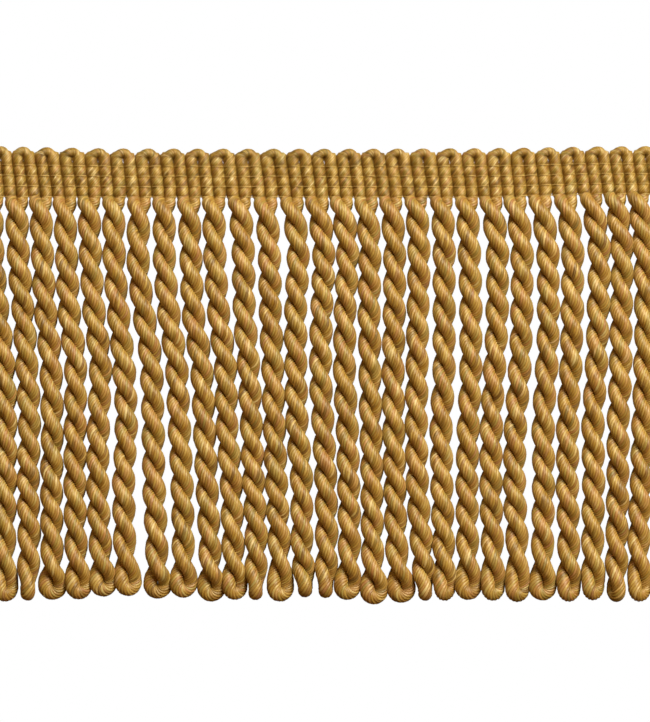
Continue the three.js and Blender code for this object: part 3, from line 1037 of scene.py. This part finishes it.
@dataclass
class Studio:
    """A white light table, soft light from the upper right and a camera straight above."""

    camera_distance: float = 1.2
    clip: Pair = (0.05, 20.0)
    sensor_width: float = 36.0
    subject_height: float = 0.004
    floor_half: float = 3.0
    floor_tone: str = "#4d3c22"
    world_tone: str = "#ffcb78"
    world_strength: float = 0.22

    def centre(self) -> Pair:
        """The point on the floor at the middle of the photograph, in metres."""
        below = PIXELS_HIGH / 2 - HEADING_MIDDLE_PIXEL_Y
        return 0.0, -below / PIXELS_PER_MM * MM

    def place_camera(self) -> None:
        """Puts the camera straight above, its long side seeing the photograph's height."""
        seen = PIXELS_HIGH / PIXELS_PER_MM * MM
        data = bpy.data.cameras.new("camera")
        data.sensor_width = self.sensor_width
        data.lens = self.sensor_width * self.camera_distance / seen
        data.clip_start, data.clip_end = self.clip
        camera = new_object("camera", data)
        camera.location = (*self.centre(), self.camera_distance + self.subject_height)
        bpy.context.scene.camera = camera

    def light(self) -> None:
        """Adds the lights, each turned to the photograph's middle, and the warm surroundings."""
        target = np.array([*self.centre(), 0.0])
        for light in Light:
            place, width, power, colour = light.value
            data = bpy.data.lights.new(light.name.lower(), "AREA")
            data.size = width
            data.energy = power
            data.color = linear_colour(colour)[:3]
            lamp = new_object(light.name.lower(), data)
            lamp.location = target + np.array(place)
            x, y, z = place
            lamp.rotation_euler = (np.arctan2(np.hypot(x, y), z), 0.0, np.arctan2(y, x) + np.pi / 2)
        world = bpy.data.worlds.new("surroundings")
        world.use_nodes = True
        background = world.node_tree.nodes["Background"]
        background.inputs["Color"].default_value = linear_colour(self.world_tone)
        background.inputs["Strength"].default_value = self.world_strength
        bpy.context.scene.world = world

    def lay_floor(self) -> None:
        """Lays the light table: it glows evenly to the eye and gives back a little warm light."""
        x, y = self.centre()
        half = self.floor_half
        mesh = bpy.data.meshes.new("floor")
        corners = [(x + i * half, y + j * half, 0) for i, j in ((-1, -1), (1, -1), (1, 1), (-1, 1))]
        mesh.from_pydata(corners, [], [(0, 1, 2, 3)])
        material = bpy.data.materials.new("white_light_table")
        material.use_nodes = True
        tree = material.node_tree
        tree.nodes.clear()
        glow = add_node(tree, "ShaderNodeEmission", {"Color": linear_colour("#ffffff"), "Strength": 1.0})
        matt = add_node(tree, "ShaderNodeBsdfDiffuse", {"Color": linear_colour(self.floor_tone)})
        seen = add_node(tree, "ShaderNodeLightPath").outputs["Is Camera Ray"]
        mixed = add_node(tree, "ShaderNodeMixShader", {0: seen, 1: matt.outputs[0], 2: glow.outputs[0]})
        add_node(tree, "ShaderNodeOutputMaterial", {"Surface": mixed.outputs[0]})
        mesh.materials.append(material)
        floor = new_object("floor", mesh)

    def set_up(self) -> None:
        """Makes the whole studio, with plain colour handling."""
        bpy.context.scene.view_settings.view_transform = "Standard"
        self.place_camera()
        self.light()
        self.lay_floor()
        LOG.info("studio: camera %.1f m above, %d lights", self.camera_distance, len(Light))


@dataclass
class BullionTrim:
    """The whole trim: one ply through every arch, column and cord, and its binding threads."""

    ply: Ply = field(default_factory=Ply)

    def __post_init__(self) -> None:
        """Reads the cords' rows and makes the heading's and the cords' sizes from them."""
        self.heading = Heading(self.ply)
        self.rows = [dict(zip(CORD_COLUMNS, row)) for row in CORD_ROWS]
        self.cords = [BullionCord(self.ply, row) for row in self.rows]
        self.arches = [row["arch"] for row in self.rows] + [END_ARCH_X]

    def columns(self) -> list[Column]:
        """Every column, left to right: evenly spread between the arches, a pair at each root."""
        half = PLY_PITCH / 2
        roots = np.array([row["root"] for row in self.rows])
        between_roots = np.concatenate([[half], np.diff(roots) / 2 - half, [half]])
        quarters = np.diff(self.arches) / 4
        across_arch = np.convolve(np.pad(quarters, 1, mode="edge"), [0.5, 0.5], "valid")
        columns = []
        for index, root in enumerate(roots.tolist()):
            quarter = float(quarters[index])
            for side, arch in ((-1, index), (1, index + 1)):
                columns.append(Column(
                    x=(root + side * half, self.arches[arch] - side * quarter),
                    to_cord=(half, quarter),
                    to_arch=(float(between_roots[arch]), float(across_arch[arch])),
                ))
        return columns

    def way(self) -> Stretch:
        """The ply's whole way: arch, column, leg, loop, leg, column, arch, and so on."""
        columns = self.columns()
        beyond = [columns[0], *columns, columns[-1]]
        stretches = [self.heading.arch(self.arches[0], columns[0], columns[0], END_ARCH_ANGLES[0], 0.0)]
        for index, cord in enumerate(self.cords):
            arch_end = 0.0 if index + 1 < len(self.cords) else END_ARCH_ANGLES[1]
            feet = beyond[2 * index + 2 : 2 * index + 4]
            stretches += [
                self.heading.column(columns[2 * index], side=1),
                cord.leg(-1),
                cord.loop(),
                cord.leg(1).backwards(),
                self.heading.column(columns[2 * index + 1], side=-1).backwards(),
                self.heading.arch(self.arches[index + 1], *feet, 180.0, arch_end),
            ]
        return end_to_end(stretches)

    def build(self) -> None:
        """Lays the ply, cuts it under the lowest binding thread and makes the pieces."""
        laid = self.ply.lay(self.way())
        self.heading.pinch(laid)
        laid.centre[:, 1] += woven_shift(laid.centre[:, 0], laid.row)
        below = laid.row < BINDING_ROWS[0]
        cuts = [0, *(np.flatnonzero(np.diff(below.astype(int)) != 0) + 1).tolist(), len(laid.run) - 1]
        parts = [self.ply.skin(laid, start, end) for start, end in zip(cuts[:-1], cuts[1:])]
        threads = BindingThreads(self.heading, self.columns()).surface()

        gold = GOLD_PLY.material()
        weave = Surface.joined(parts[0::2]).piece("heading_weave", WOVEN_PLY.material())
        self.dress(weave, "heading")
        for number, part in enumerate(parts[1::2], start=1):
            self.dress(part.piece(f"bullion_cord_{number:02d}", gold), "fringe")
        self.dress(threads.piece("binding_threads", STRAW_THREAD.material()), "heading")
        LOG.info("trim: %d cords, ply %.2f m long", len(self.cords), laid.run[-1] * MM)

    def dress(self, piece: bpy.types.Object, node: str) -> None:
        """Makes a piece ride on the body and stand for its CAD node."""
        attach(piece, "root")
        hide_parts(node)
        LOG.info("%s: %d faces", piece.name, len(piece.data.polygons))


def main() -> None:
    """Loads the frame, sets up the studio and builds the trim."""
    logging.basicConfig(level=logging.INFO, format="%(name)s: %(message)s")
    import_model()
    Studio().set_up()
    BullionTrim().build()
    bpy.context.view_layer.update()


if __name__ == "__main__":
    main()
